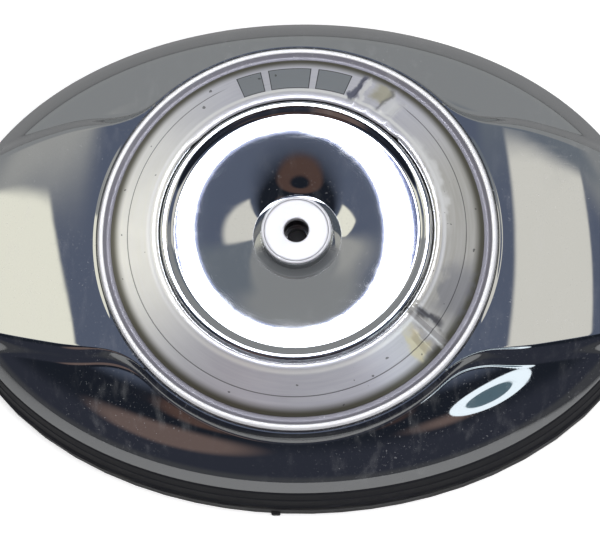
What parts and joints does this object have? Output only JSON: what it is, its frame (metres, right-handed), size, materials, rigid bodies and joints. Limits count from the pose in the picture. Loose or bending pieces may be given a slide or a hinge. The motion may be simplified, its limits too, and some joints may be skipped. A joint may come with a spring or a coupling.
{
  "type": "air filter housing",
  "caption": "Oval chromed air filter housing with a raised round drum, shallow dished centre, side wings and a black backplate over a pleated element.",
  "frame": {"origin": "on the mounting plane, under the middle of the oval", "axes": "+X along the oval towards its right end, +Y towards the back edge, +Z out of the cover's face"},
  "size_m": [0.2646, 0.189, 0.0478],
  "materials": {
    "chrome": "polished chrome plate with light wear",
    "brushed_aluminium": "circular brushed",
    "black_rubber": "satin moulded rubber",
    "black_coating": "satin black coating on a casting",
    "gasket_paper": "pressed gasket sheet",
    "moulded_cap": "moulded, matt",
    "filter_media": "pleated resin paper",
    "wire_screen": "woven wire",
    "zinc_steel": "zinc plated"
  },
  "bodies": {
    "housing": {"backplate": "black_coating", "bracket_nut": "zinc_steel", "bracket_screw_1": "zinc_steel", "bracket_screw_2": "zinc_steel", "bracket_screw_3": "zinc_steel", "breather_bolt_left": "zinc_steel", "breather_bolt_right": "zinc_steel", "breather_hose_left": "black_rubber", "breather_hose_right": "black_rubber", "breather_seal_left": "black_rubber", "breather_seal_right": "black_rubber", "breather_washer_left": "zinc_steel", "breather_washer_right": "zinc_steel", "cap_sleeve_1": "zinc_steel", "cap_sleeve_2": "zinc_steel", "cap_sleeve_3": "zinc_steel", "cover_bracket": "zinc_steel", "element_bottom_cap": "moulded_cap", "element_top_cap": "moulded_cap", "inner_screen": "wire_screen", "outer_screen": "wire_screen", "pleated_media": "filter_media", "throttle_gasket": "gasket_paper", "throttle_screw_1": "zinc_steel", "throttle_screw_2": "zinc_steel", "throttle_screw_3": "zinc_steel"},
    "cover": {"cover_shell": "chrome", "trim_ring": "brushed_aluminium", "cover_seal": "black_rubber"}
  },
  "joints": [
    {"name": "cover_lift", "type": "slide", "parent": "housing", "child": "cover", "axis": [0, 0, 1], "range_m": [0, 0.08]}
  ]
}
